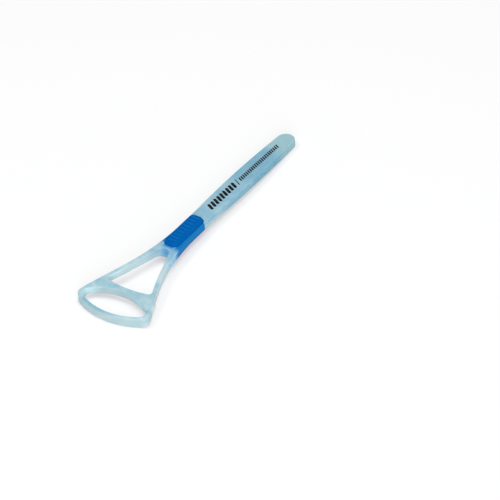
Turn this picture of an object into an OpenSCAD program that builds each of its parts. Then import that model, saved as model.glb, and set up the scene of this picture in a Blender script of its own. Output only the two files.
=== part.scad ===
// Tongue scraper: a frosted moulded body with a soft two-sided grip.
// X runs across the head, Y from the head to the handle's tip, Z up.
// The part lies as it rests on a table: on the outer bar's foot and the tip.

/* [Head] */
// Width of the head over its two corners
head_w = 42.6; // [36:0.2:52]
// Radius of the outer bar's front face, seen from above
front_r = 40.5; // [34:0.5:60]
// Radius of the head's two outer corners
corner_r = 3.8; // [2.8:0.1:5]
// Thickness of the outer scraping bar, seen from above
outer_bar_t = 2; // [1.4:0.1:3]
// Radius of the inner bar's front edge
inner_front_r = 33; // [28:1:45]
// Distance from the head's front to the inner bar's back edge, at the middle
inner_back_y = 19.7; // [18.5:0.1:21]
// Width of the inner bar at the middle
inner_bar_w = 3.3; // [2.8:0.1:4.4]
// Radius of the inner bar's back edge
inner_back_r = 64; // [50:1:120]
// Wall between the gap of the two bars and the head's side
side_wall = 2.8; // [2:0.1:4]
// Radius of the corners of the gap between the two bars
gap_corner_r = 1.5; // [0.8:0.1:1.8]

/* [Legs and neck] */
// Radius of the arch between the legs
arch_r = 4.2; // [3.6:0.1:4.8]
// Narrowing at each side of the arch, inside the flare of the legs
arch_narrow = 0.95; // [0.5:0.05:1.4]
// Distance that the arch's wall leans back, from the underside to the top
arch_lean = 1.6; // [0.8:0.1:2.2]
// Radius of the leaning part of the arch's wall
lean_r = 3.6; // [3:0.1:4]
// Radius of the corners between the legs and the inner bar
crotch_r = 1.8; // [1:0.1:2.4]
// Width of a leg, from the head to where it narrows the arch
leg_w = 2.3; // [1.8:0.1:3.2]
// Width of the neck, under the grip
neck_w = 10.2; // [9.6:0.1:13]
// Distance from the head's front to the corner of neck and leg, before the flare rounds it
neck_y = 48.2; // [46:0.1:52]
// Radius of the flare from the neck to a leg
flare_r = 120; // [100:1:140]

/* [Handle] */
// Length of the scraper from the head's front to the tip
total_l = 165; // [150:1:180]
// Widest part of the handle
handle_w = 11.7; // [11:0.1:14]
// Distance from the head's front to the widest part of the handle
widest_y = 121; // [112:1:128]
// Radius of the handle's long side edges
leaf_r = 744; // [600:1:1200]

/* [Side profile] */
// Thickness of the handle and the neck
body_t = 4.5; // [3.8:0.1:5.5]
// Distance from the head's front to the highest line of the body
crest_y = 40; // [36:1:46]
// Radius of the handle's long bow
bow_r = 2226; // [1600:1:3200]
// Radius of the top of the head, falling from the crest to the outer bar
head_top_r = 268; // [230:1:400]
// Length of the flat foot under the head's front
foot_l = 4.4; // [3:0.1:6]
// Distance from the head's front to where the head's underside is level
level_y = 25; // [20:0.5:30]

/* [Soft grip] */
// Wall between the arch of the legs and the grip's lower end
arch_wall = 2.95; // [1.5:0.05:6]
// Length of a grip pad
pad_l = 26; // [20:0.1:28]
// Width of a grip pad
pad_w = 7.9; // [7.2:0.1:9]
// Corner radius of a grip pad
pad_r = 2.6; // [1.5:0.1:3.2]
// Height of the thumb pad above the handle
thumb_h = 2; // [1.2:0.05:2.2]
// Height of the finger pad below the handle
finger_h = 0.9; // [0.6:0.05:1.4]
// Depth to which a pad is let into the handle
let_in = 0.5; // [0.3:0.05:0.8]
// Ledge of the handle that a pad covers beside and in front of its core
ledge = 0.6; // [0.4:0.05:1.2]
// Ledge that a pad covers behind its core, towards the handle's tip
end_ledge = 2.6; // [0.6:0.1:4]
// Gap between the soft grip and the body around it
bond_gap = 0.02; // [0.01:0.01:0.05]

/* [Grip ribs] */
// Number of ribs across each pad
rib_count = 9; // [5:1:11]
// Width of a rib, along the handle
rib_w = 1.1; // [0.7:0.05:1.3]
// Height of a rib above the floor of its panel
rib_h = 0.5; // [0.3:0.05:0.6]
// Depth of the panel that the ribs stand in
panel_d = 0.35; // [0.2:0.05:0.5]
// Rim left around the panel
rim = 1.1; // [0.8:0.05:1.6]

/* [Hidden] */
arc_fn = 720;
mid = 1 / 2;
// Overrun of every cut
eps = 0.5;
// Steps of a long arc, of a small round, and of the round corner of a rib
arc_n = 12;
round_n = 8;
rib_n = 2;

// Corner of the head: its circle touches the front arc from within
corner_x = head_w * mid - corner_r;
corner_y = front_r - sqrt(pow(front_r - corner_r, 2) - pow(corner_x, 2));
front_a = atan2(corner_x, front_r - corner_y);

// Leg: its straight edge touches the head's corner, and the flare rounds it into the neck
neck_h = neck_w * mid;
leg_run = [neck_h - corner_x, neck_y - corner_y];
leg_a = atan2(leg_run[1], leg_run[0]) - acos(corner_r / norm(leg_run));
flare_x = neck_h + flare_r;
flare_y = neck_y + flare_r * tan(leg_a * mid);

// Long side edges: they leave the straight neck where they grow wider than it
leaf_h = handle_w * mid;
leaf_x = leaf_h - leaf_r;
leaf_a = -acos((neck_h - leaf_x) / leaf_r);

// Tip: a circle that touches both long side edges from within
tip_run = total_l - widest_y;
tip_r = (2 * leaf_r * leaf_h - pow(leaf_h, 2) - pow(tip_run, 2)) / (2 * (leaf_r - tip_run));
tip_y = total_l - tip_r;
tip_a = atan2(tip_y - widest_y, -leaf_x);

// Opening between the legs: it follows them at their width, then runs straight to the arch
inner_flare_r = flare_r + leg_w;
arch_reach = inner_flare_r + arch_r;
arch_cy = flare_y - sqrt(pow(arch_reach + arch_narrow, 2) - pow(flare_x, 2));
arch_a = atan2(flare_y - arch_cy, flare_x) + acos(arch_reach / (arch_reach + arch_narrow));
back_cy = inner_back_y + inner_back_r;

// Round corner at a leg's foot: it touches the leg's straight inner edge and the inner bar's back edge
crotch_in = corner_x * cos(leg_a) + corner_y * sin(leg_a) + corner_r - leg_w - crotch_r;
crotch_run = sqrt(pow(inner_back_r - crotch_r, 2) - pow(crotch_in - back_cy * sin(leg_a), 2));
crotch_up = back_cy * cos(leg_a) - crotch_run;
crotch = [crotch_in * cos(leg_a) - crotch_up * sin(leg_a), crotch_in * sin(leg_a) + crotch_up * cos(leg_a)];
crotch_a = atan2(crotch[1] - back_cy, crotch[0]);
crotch_top = crotch[1] + crotch_r * sin(leg_a);
inner_leg_a = min(leg_a, asin((flare_y - crotch_top) / inner_flare_r));

// Gap between the bars: its round corners touch the end wall and both bars, or both bars alone
gap_back_y = inner_back_y - inner_bar_w;
gap_front_r = front_r - outer_bar_t;
gap_back_cy = gap_back_y - inner_front_r;
gap_rise = front_r - gap_back_cy;
gap_in_front = gap_front_r - gap_corner_r;
gap_in_back = inner_front_r - gap_corner_r;
gap_meet = (pow(gap_rise, 2) + pow(gap_in_back, 2) - pow(gap_in_front, 2)) / (2 * gap_rise);
gap_end_x = min(head_w * mid - side_wall - gap_corner_r, sqrt(pow(gap_in_back, 2) - pow(gap_meet, 2)));
gap_front_cy = front_r - sqrt(pow(gap_in_front, 2) - pow(gap_end_x, 2));
gap_end_cy = gap_back_cy + sqrt(pow(gap_in_back, 2) - pow(gap_end_x, 2));
gap_front_a = atan2(gap_front_cy - front_r, gap_end_x);
gap_back_a = atan2(gap_end_cy - gap_back_cy, gap_end_x);

// Side profile: the handle's bow ends on the table at the tip
under_bow_r = bow_r - body_t;
under_z = under_bow_r - sqrt(pow(under_bow_r, 2) - pow(total_l - crest_y, 2));
crest_z = under_z + body_t;
under_run = level_y - foot_l;
under_r = (pow(under_run, 2) + pow(under_z, 2)) / (2 * under_z);

// Leaning part of the arch's wall: a tilted round hole, level with the arch at the underside
lean_a = atan2(arch_lean, body_t);
lean_back = lean_r / cos(lean_a);
lean_cy = arch_cy + arch_r - lean_back;

// Grip
pad_y = arch_cy + arch_r + arch_lean + arch_wall;
pad_mid_y = pad_y + pad_l * mid;
core_l = pad_l - ledge - end_ledge;
core_mid_y = pad_y + ledge + core_l * mid;
core_w = pad_w - 2 * ledge;
core_r = pad_r - ledge;
panel_l = pad_l - 2 * rim;
panel_w = pad_w - 2 * rim;
panel_r = pad_r - rim;
rib_pitch = panel_l / rib_count;
rib_l = panel_w;
rib_r = rib_w / 4;

scraper_body();
soft_grip();

// Points along an arc, from one angle to another
function arc(c, r, from, to, n) =
    [for (i = [0 : n]) let (a = from + (to - from) * i / n) c + r * [cos(a), sin(a)]];

// The right half's points, then the left half's in turn
function both_sides(pts) =
    concat(pts, [for (i = [len(pts) - 1 : -1 : 0]) if (abs(pts[i][0]) > 0) [-pts[i][0], pts[i][1]]]);

// Brings the middle of the scraper's length to the origin
module centred() {
    translate([0, -total_l * mid, 0]) children();
}

// Outlines seen from above

module outer_plan() {
    polygon(both_sides(concat(
        arc([0, front_r], front_r, -90, front_a - 90, arc_n),
        arc([corner_x, corner_y], corner_r, front_a - 90, leg_a, round_n),
        arc([flare_x, flare_y], flare_r, 180 + leg_a, 180, arc_n),
        arc([leaf_x, widest_y], leaf_r, leaf_a, tip_a, arc_n),
        arc([0, tip_y], tip_r, tip_a, 90, round_n)
    )));
}

module leg_opening() {
    polygon(both_sides(concat(
        arc([0, back_cy], inner_back_r, -90, crotch_a, arc_n),
        arc(crotch, crotch_r, crotch_a, leg_a, round_n),
        arc([flare_x, flare_y], inner_flare_r, 180 + inner_leg_a, 180 + arch_a, arc_n),
        arc([0, arch_cy], arch_r, arch_a, 90, round_n)
    )));
}

module bar_gap() {
    polygon(both_sides(concat(
        arc([0, front_r], gap_front_r, -90, gap_front_a, arc_n),
        arc([gap_end_x, gap_front_cy], gap_corner_r, gap_front_a, 0, round_n),
        arc([gap_end_x, gap_end_cy], gap_corner_r, 0, gap_back_a, round_n),
        arc([0, gap_back_cy], inner_front_r, gap_back_a, 90, arc_n)
    )));
}

module body_plan() {
    difference() {
        outer_plan();
        leg_opening();
        bar_gap();
    }
}

// Outlines seen from the side, drawn with Y to the right and Z up

module handle_side(top, low) {
    intersection() {
        translate([crest_y, crest_z - bow_r]) difference() {
            circle(r = bow_r + top, $fn = arc_fn * 2);
            circle(r = bow_r - low, $fn = arc_fn * 2);
        }
        translate([crest_y, -crest_z]) square([total_l - crest_y + eps, crest_z * 3]);
    }
}

module head_side() {
    difference() {
        intersection() {
            translate([crest_y, crest_z - head_top_r]) circle(r = head_top_r, $fn = arc_fn);
            translate([-eps, 0]) square([crest_y + eps, crest_z + eps]);
        }
        intersection() {
            translate([level_y, under_z - under_r]) circle(r = under_r, $fn = arc_fn);
            translate([foot_l, -eps]) square([level_y - foot_l, under_z + eps]);
        }
        translate([level_y, -eps]) square([crest_y - level_y, under_z + eps]);
    }
}

// Stands a drawn side profile up, as wide as the head
module across(width) {
    translate([-width * mid, 0, 0])
        rotate([90, 0, 90])
            linear_extrude(height = width) children();
}

module body_blank() {
    intersection() {
        translate([0, 0, -eps]) linear_extrude(height = crest_z + 2 * eps) body_plan();
        across(head_w + 2 * eps) {
            head_side();
            handle_side(0, body_t);
        }
    }
}

// The leaning part of the arch's wall, cut from under the body to over it
module arch_lean_cut() {
    translate([0, lean_cy, under_z]) rotate([-lean_a, 0, 0])
        translate([0, 0, -body_t]) cylinder(r = lean_r, h = body_t * 3, $fn = arc_fn);
}

// Rounded rectangle: length along the handle, width across it
module rounded(l, w, r, n = round_n) {
    sx = w * mid - r;
    sy = l * mid - r;
    polygon(concat(
        arc([sx, sy], r, 0, 90, n),
        arc([-sx, sy], r, 90, 180, n),
        arc([-sx, -sy], r, 180, 270, n),
        arc([sx, -sy], r, 270, 360, n)
    ));
}

// Upright prism of a rounded rectangle in the grip, around a place along the handle
module pillar(l, w, r, at_y) {
    translate([0, at_y, -crest_z])
        linear_extrude(height = crest_z * 3) rounded(l, w, r);
}

// A band that follows the handle's bow, measured up from its top and down from it
module band(top, low) {
    across(pad_w * 2) handle_side(top, low);
}

// Rounded block between two levels of that band
module pad(l, w, r, top, low, at_y = pad_mid_y) {
    intersection() {
        pillar(l, w, r, at_y);
        band(top, low);
    }
}

// The space of the soft grip: a pad above, a pad below, and the core between them
module grip_space(gap) {
    low_face = body_t - let_in - gap;
    more = 2 * gap;
    pad(pad_l + more, pad_w + more, pad_r + gap, thumb_h, let_in + gap);
    pad(core_l + more, core_w + more, core_r + gap, thumb_h, body_t + finger_h, core_mid_y);
    pad(pad_l + more, pad_w + more, pad_r + gap, -low_face, body_t + finger_h);
}

// Ribs across a pad, between two levels of the band
module rib_row(top, low) {
    for (i = [0 : rib_count - 1])
        intersection() {
            translate([0, (i - (rib_count - 1) * mid) * rib_pitch + pad_mid_y, -crest_z])
                linear_extrude(height = crest_z * 3) rounded(rib_w, rib_l, rib_r, rib_n);
            band(top, low);
        }
}

module soft_grip() {
    thumb_floor = thumb_h - panel_d;
    finger_floor = body_t + finger_h - panel_d;
    color("#0a5cb8") centred() {
        difference() {
            grip_space(0);
            pad(panel_l, panel_w, panel_r, thumb_h + eps, -thumb_floor);
            pad(panel_l, panel_w, panel_r, -finger_floor, body_t + finger_h + eps);
        }
        rib_row(thumb_floor + rib_h, -thumb_floor + panel_d);
        rib_row(-finger_floor + panel_d, finger_floor + rib_h);
    }
}

module scraper_body() {
    color("#9ccbe0", 0.8) centred()
        difference() {
            body_blank();
            arch_lean_cut();
            grip_space(bond_gap);
        }
}
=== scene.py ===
"""Tongue scraper: one frosted moulding with a soft two-sided grip let through its neck.

Sizes are in millimetres, with Y measured from the front of the head, until a mesh is
made: X runs across the head, Y from the head to the handle's tip, Z up from the table.
"""
import logging
import math
from dataclasses import dataclass
from enum import Enum
from functools import partial, reduce
from typing import Optional

import bmesh
import bpy
import numpy as np
from mathutils import Matrix, Vector
from mathutils.geometry import delaunay_2d_cdt


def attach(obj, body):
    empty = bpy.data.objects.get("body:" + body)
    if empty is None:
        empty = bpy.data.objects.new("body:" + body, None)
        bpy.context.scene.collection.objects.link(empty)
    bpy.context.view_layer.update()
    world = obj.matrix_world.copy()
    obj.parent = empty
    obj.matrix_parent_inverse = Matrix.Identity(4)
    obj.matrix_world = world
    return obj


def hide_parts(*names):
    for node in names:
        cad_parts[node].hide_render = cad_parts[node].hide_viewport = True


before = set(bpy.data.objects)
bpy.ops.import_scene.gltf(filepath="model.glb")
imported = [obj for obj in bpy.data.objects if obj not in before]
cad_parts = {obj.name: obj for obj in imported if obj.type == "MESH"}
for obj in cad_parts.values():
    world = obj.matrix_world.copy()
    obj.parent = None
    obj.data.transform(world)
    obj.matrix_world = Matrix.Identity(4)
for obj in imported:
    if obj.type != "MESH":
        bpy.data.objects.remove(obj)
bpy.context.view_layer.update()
log = logging.getLogger("tongue_scraper")

MM = 0.001
# Points of one mesh, and of one printed mark, that lie closer than this in metres are one.
WELD_M = 1e-8
PRINT_WELD_M = 1e-6
# A point nearer than this to the middle line lies on it.
MIDDLE_MM = 1e-6
FEWEST_ARC_STEPS = 3
FEWEST_OUTLINE_POINTS = 8
BODY = "root"
PLASTIC_SLOT = "frosted_plastic"
GRIP_SLOT = "grip_rubber"

Socket = bpy.types.NodeSocket
Tree = bpy.types.NodeTree
Point = tuple[float, float]
Span = tuple[float, float]
Triple = tuple[float, float, float]


class Face(Enum):
    """The two sides of the scraper that carry a grip pad."""

    THUMB = 1
    FINGER = -1


class Way(Enum):
    """Which way round an outline runs, so that the plastic lies on its left."""

    AROUND_PLASTIC = 1
    AROUND_HOLE = -1


def linear(hex_colour: str) -> tuple[float, float, float, float]:
    """Turn an sRGB hex colour to linear light.

    Args:
        hex_colour: six hex digits, with or without a leading mark.

    Returns:
        Linear red, green, blue and an alpha of one.
    """
    digits = hex_colour.lstrip("#")
    shares = [int(digits[i:i + 2], 16) / 255 for i in (0, 2, 4)]
    light = [c / 12.92 if c <= 0.04045 else ((c + 0.055) / 1.055) ** 2.4 for c in shares]
    return light[0], light[1], light[2], 1.0


def add_node(tree: Tree, kind: str, inputs: Optional[dict] = None, **settings: object) -> bpy.types.Node:
    """Add a node, set it up and join it to others.

    Args:
        tree: the tree that gets the node.
        kind: the node's type.
        inputs: values, or other nodes' output sockets, by input name or number.
        settings: the node's own properties.

    Returns:
        The new node.
    """
    node = tree.nodes.new(kind)
    for name, value in settings.items():
        setattr(node, name, value)
    for key, value in (inputs or {}).items():
        if isinstance(value, Socket):
            tree.links.new(value, node.inputs[key])
        else:
            node.inputs[key].default_value = value
    return node


def bare_material(name: str) -> bpy.types.Material:
    """Start a material.

    Args:
        name: its name.

    Returns:
        The material, with an empty tree.
    """
    material = bpy.data.materials.new(name)
    material.use_nodes = True
    material.node_tree.nodes.clear()
    return material


def noise(tree: Tree, where: Socket, size_mm: float, detail: float) -> Socket:
    """Soft noise in patches of about a size, with finer layers of detail over them."""
    sizes = {"Vector": where, "Scale": 1 / (size_mm * MM), "Detail": detail}
    return add_node(tree, "ShaderNodeTexNoise", sizes).outputs["Fac"]


def arc(centre: Point, radius: float, start: float, end: float, step: float = 0.8) -> np.ndarray:
    """Sample an arc.

    Args:
        centre: the middle of its circle.
        radius: its radius.
        start: the angle at its first point, in degrees.
        end: the angle at its last point, in degrees.
        step: the greatest distance between two points.

    Returns:
        The points, one to a row.
    """
    count = max(FEWEST_ARC_STEPS, math.ceil(abs(math.radians(end - start)) * radius / step))
    angles = np.radians(np.linspace(start, end, count + 1))
    return np.array(centre) + radius * np.column_stack([np.cos(angles), np.sin(angles)])


def mirrored(right: np.ndarray) -> np.ndarray:
    """Close a right half, given from the front to the back, with its mirror image."""
    left = right[::-1] * [-1, 1]
    return np.concatenate([right, left[np.abs(left[:, 0]) > MIDDLE_MM]])


def resampled(points: np.ndarray, step: float) -> np.ndarray:
    """Space the points of a closed outline evenly.

    Args:
        points: the outline.
        step: about how far apart they come to lie.

    Returns:
        The new points.
    """
    closed = np.vstack([points, points[:1]])
    run = np.concatenate([[0], np.cumsum(np.hypot(*np.diff(closed, axis=0).T))])
    count = max(FEWEST_OUTLINE_POINTS, round(run[-1] / step))
    at = np.linspace(0, run[-1], count + 1)[:-1]
    return np.column_stack([np.interp(at, run, closed[:, i]) for i in (0, 1)])


def turned(points: np.ndarray, way: Way) -> np.ndarray:
    """Order an outline so that the plastic is on its left.

    Args:
        points: the outline.
        way: whether it goes round the plastic or round a hole.

    Returns:
        The points in the right order.
    """
    ahead = np.roll(points, -1, axis=0)
    area = np.sum(points[:, 0] * ahead[:, 1] - ahead[:, 0] * points[:, 1])
    return points if area * way.value > 0 else points[::-1]


def inset(points: np.ndarray, distance: float) -> np.ndarray:
    """Move a closed outline to its left, with mitred corners.

    Args:
        points: the outline.
        distance: how far it moves.

    Returns:
        The moved points.
    """
    along = np.roll(points, -1, axis=0) - points
    normal = np.column_stack([-along[:, 1], along[:, 0]]) / np.hypot(*along.T)[:, None]
    before = np.roll(normal, 1, axis=0)
    mitre = (normal + before) / (1 + np.sum(normal * before, axis=1))[:, None]
    return points + mitre * distance


def rounded_rectangle(middle_y: float, length: float, width: float, radius: float) -> np.ndarray:
    """A rounded rectangle that always has the same number of points.

    Args:
        middle_y: its middle, along the handle.
        length: its length along the handle.
        width: its width.
        radius: the radius of its corners.

    Returns:
        The points in turn, with the inside on their left.
    """
    corner_steps, long_steps, short_steps = 8, 24, 6
    x, y = width / 2 - radius, length / 2 - radius
    points: list[np.ndarray] = []
    sides = ((x, -y, -90, long_steps), (x, y, 0, short_steps),
             (-x, y, 90, long_steps), (-x, -y, 180, short_steps))
    for i, (cx, cy, start, steps) in enumerate(sides):
        corner = np.radians(np.linspace(start, start + 90, corner_steps + 1))
        points.append(np.column_stack([cx + radius * np.cos(corner), cy + radius * np.sin(corner)]))
        nx, ny, turn, _ = sides[(i + 1) % 4]
        across, along = math.cos(math.radians(turn)), math.sin(math.radians(turn))
        goal = np.array([nx, ny]) + radius * np.array([across, along])
        share = np.linspace(0, 1, steps + 1)[1:-1, None]
        points.append(points[-1][-1] * (1 - share) + goal * share)
    return np.concatenate(points) + [0, middle_y]


def quarter_round(radius: float, steps: int) -> list[Point]:
    """The (inset, drop) pairs of a rounded edge, from the flat face down to the wall."""
    turns = [math.pi / 2 * i / steps for i in range(steps + 1)]
    return [(radius * (1 - math.sin(t)), radius * (1 - math.cos(t))) for t in turns]


@dataclass(frozen=True)
class SideProfile:
    """The levels of the body's top and underside along its length."""

    total_l: float = 165.0
    body_t: float = 4.5
    crest_y: float = 40.0
    bow_r: float = 2226.0
    head_top_r: float = 268.0
    foot_l: float = 4.4
    level_y: float = 25.0

    @property
    def under_z(self) -> float:
        """Level of the underside at its highest."""
        radius = self.bow_r - self.body_t
        return radius - math.sqrt(radius ** 2 - (self.total_l - self.crest_y) ** 2)

    @property
    def crest_z(self) -> float:
        """Level of the top at its highest."""
        return self.under_z + self.body_t

    def top(self, y: np.ndarray) -> np.ndarray:
        """Level of the top.

        Args:
            y: distances from the head's front.

        Returns:
            The level at each of them.
        """
        away = np.asarray(y, float) - self.crest_y
        radius = np.where(away < 0, self.head_top_r, self.bow_r)
        return self.crest_z - radius + np.sqrt(radius ** 2 - away ** 2)

    def bottom(self, y: np.ndarray) -> np.ndarray:
        """Level of the underside.

        Args:
            y: distances from the head's front.

        Returns:
            The level at each of them.
        """
        y = np.asarray(y, float)
        radius = self.bow_r - self.body_t
        bow = self.under_z - radius + np.sqrt(radius ** 2 - np.maximum(y - self.crest_y, 0) ** 2)
        rise = self.level_y - self.foot_l
        head_r = (rise ** 2 + self.under_z ** 2) / (2 * self.under_z)
        sink = head_r - np.sqrt(head_r ** 2 - np.clip(self.level_y - y, 0, rise) ** 2)
        return bow - sink

    def place(self, outline: np.ndarray, face: Face, height: float) -> np.ndarray:
        """Stand an outline at a height over the top, or under the underside.

        Args:
            outline: points seen from above.
            face: the side to measure from.
            height: how far the points stand proud of it.

        Returns:
            Points in millimetres, with Y centred on the scraper's length.
        """
        level = self.top(outline[:, 1]) if face is Face.THUMB else self.bottom(outline[:, 1])
        z = level + height * face.value
        return np.column_stack([outline[:, 0], outline[:, 1] - self.total_l / 2, z])


class Shell:
    """Collects rings of points, the walls between them and the faces that close them."""

    # How near to an edge a face's inner points may come, as a share of their spacing.
    edge_share: float = 0.45
    edge_weld_mm: float = 1e-7

    def __init__(self) -> None:
        """Start with no points and no faces."""
        self.points: list[np.ndarray] = []
        self.faces: list[tuple[int, ...]] = []

    def ring(self, points: np.ndarray) -> list[int]:
        """Add a ring of points.

        Args:
            points: the ring.

        Returns:
            The points' numbers.
        """
        first = len(self.points)
        self.points.extend(points)
        return list(range(first, len(self.points)))

    def wall(self, rings: list[list[int]]) -> None:
        """Join each ring to the next, with the outside on the right of their run.

        Args:
            rings: the numbers of each ring's points.
        """
        for low, high in zip(rings, rings[1:]):
            for i, a in enumerate(low):
                j = (i + 1) % len(low)
                self.faces.append((a, low[j], high[j], high[i]))

    def cap(self, rings: list[list[int]], side: SideProfile, face: Face, height: float, grid: float) -> None:
        """Close the area inside the first ring and outside the others.

        Args:
            rings: numbers of the ring round the area, then of the ring of each hole.
            side: the levels that the face follows.
            face: the side that it is on.
            height: how far it stands proud of that side.
            grid: the spacing of the points within.
        """
        loops = [np.array([self.points[i][:2] for i in ring]) for ring in rings]
        edge = np.concatenate(loops)
        low, high = edge.min(0), edge.max(0)
        xs, ys = np.arange(low[0] + grid / 2, high[0], grid), np.arange(low[1] + grid / 2, high[1], grid)
        inner = np.stack(np.meshgrid(xs, ys), -1).reshape(-1, 2)
        inner = inner[self._inside(inner, loops)]
        gap = np.sqrt(((inner[:, None] - edge[None]) ** 2).sum(-1)).min(1)
        inner = inner[gap > grid * self.edge_share]
        numbers = [i for ring in rings for i in ring]
        numbers += self.ring(side.place(inner + [0, side.total_l / 2], face, height))
        lines, first = [], 0
        for loop in loops:
            count = len(loop)
            lines += [(first + i, first + (i + 1) % count) for i in range(count)]
            first += count
        flat = [Vector(p) for p in np.concatenate([edge, inner])]
        found, _, faces, source, _, _ = delaunay_2d_cdt(flat, lines, [], 0, self.edge_weld_mm)
        middles = np.array([np.mean([found[i] for i in f], axis=0) for f in faces])
        for keep, corners in zip(self._inside(middles, loops), faces):
            if keep:
                named = tuple(numbers[source[i][0]] for i in corners)
                self.faces.append(named if face is Face.THUMB else named[::-1])

    @staticmethod
    def _inside(points: np.ndarray, loops: list[np.ndarray]) -> np.ndarray:
        """Tell which points an odd number of the loops go round.

        Args:
            points: the points.
            loops: the outlines.

        Returns:
            A yes or no for each point.
        """
        odd = np.zeros(len(points), bool)
        for loop in loops:
            ahead = np.roll(loop, -1, axis=0)
            for (ax, ay), (bx, by) in zip(loop, ahead):
                if ay != by:
                    between = (points[:, 1] < ay) != (points[:, 1] < by)
                    crossing = ax + (points[:, 1] - ay) * (bx - ax) / (by - ay)
                    odd ^= between & (points[:, 0] < crossing)
        return odd

    def build(self, name: str, material: bpy.types.Material, sharp: float = 38.0) -> bpy.types.Object:
        """Make the object.

        Args:
            name: its name.
            material: its finish.
            sharp: the angle in degrees over which an edge stays sharp.

        Returns:
            The object, at the origin, with its place in its mesh.
        """
        mesh = bpy.data.meshes.new(name)
        mesh.from_pydata([tuple(p * MM) for p in self.points], [], self.faces)
        tidy = bmesh.new()
        tidy.from_mesh(mesh)
        bmesh.ops.remove_doubles(tidy, verts=tidy.verts, dist=WELD_M)
        bmesh.ops.recalc_face_normals(tidy, faces=tidy.faces)
        open_edges = sum(1 for edge in tidy.edges if len(edge.link_faces) != 2)
        tidy.to_mesh(mesh)
        tidy.free()
        mesh.polygons.foreach_set("use_smooth", [True] * len(mesh.polygons))
        mesh.set_sharp_from_angle(angle=math.radians(sharp))
        mesh.materials.append(material)
        made = bpy.data.objects.new(name, mesh)
        bpy.context.scene.collection.objects.link(made)
        evened = made.modifiers.new("even_shading", "WEIGHTED_NORMAL")
        evened.keep_sharp = True
        made = applied(made)
        log.info("%s: %d faces, %d open edges", name, len(made.data.polygons), open_edges)
        return made


def applied(piece: bpy.types.Object) -> bpy.types.Object:
    """Make a piece's modifiers real and take them off it.

    Args:
        piece: the piece.

    Returns:
        The same piece, with a plain mesh.
    """
    finished = piece.evaluated_get(bpy.context.evaluated_depsgraph_get())
    mesh = bpy.data.meshes.new_from_object(finished)
    piece.modifiers.clear()
    piece.data = mesh
    mesh.name = piece.name
    return piece


@dataclass(frozen=True)
class GripSizes:
    """Sizes of the soft grip that the body's window shares."""

    pad_y: float = 56.40
    pad_l: float = 26.0
    pad_w: float = 7.9
    foot: float = 0.4
    end_slope: float = 0.3
    pad_r: float = 2.6
    thumb_h: float = 2.0
    finger_h: float = 0.9
    let_in: float = 0.5
    ledge: float = 0.6
    end_ledge: float = 2.6
    bond_gap: float = 0.02
    rib_count: int = 9
    rib_w: float = 1.1
    rib_h: float = 0.5
    panel_d: float = 0.35
    rim: float = 1.1

    @property
    def middle_y(self) -> float:
        """Middle of the grip, from the head's front."""
        return self.pad_y + self.pad_l / 2

    def panel_ends(self, face: Face) -> Span:
        """The two ends of the panel inside a pad's rim, from the head's front."""
        return self.pad_y + self.rim, self.pad_y + self.pad_l - self.rim - self.end_slope * self.height(face)

    @property
    def panel_w(self) -> float:
        """Width of the panel inside a pad's rim."""
        return self.pad_w - 2 * self.rim

    @property
    def core_end(self) -> float:
        """The core's end towards the tip, from the head's front."""
        return self.pad_y + self.pad_l - self.end_ledge

    def outline(self, grow: float, less: float = 0.0) -> np.ndarray:
        """The pad's outline, grown or shrunk on every side, and shortened at the tip's end."""
        length = self.pad_l + 2 * grow - less
        return rounded_rectangle(self.middle_y - less / 2, length, self.pad_w + 2 * grow, self.pad_r + grow)

    def core_outline(self, grow: float) -> np.ndarray:
        """The core's outline.

        Args:
            grow: how much larger it is on every side.

        Returns:
            Its points.
        """
        start, radius = self.pad_y + self.ledge, self.pad_r - self.ledge + grow
        length, width = self.core_end - start, self.pad_w - 2 * self.ledge
        return rounded_rectangle(start + length / 2, length + 2 * grow, width + 2 * grow, radius)

    def height(self, face: Face) -> float:
        """How far the pad on one side stands proud."""
        return self.thumb_h if face is Face.THUMB else self.finger_h


@dataclass(frozen=True)
class Zone:
    """A stretch that sets in at `start`, is full from `full` to `fades` and is over at `end`."""

    start: float
    full: float
    fades: float
    end: float

    def moved(self, distance: float) -> "Zone":
        """The same stretch, further along."""
        return Zone(self.start + distance, self.full + distance, self.fades + distance, self.end + distance)


@dataclass(frozen=True)
class Tint:
    """A colour, and how much of it shows where it is laid."""

    colour: str
    share: float


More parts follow.
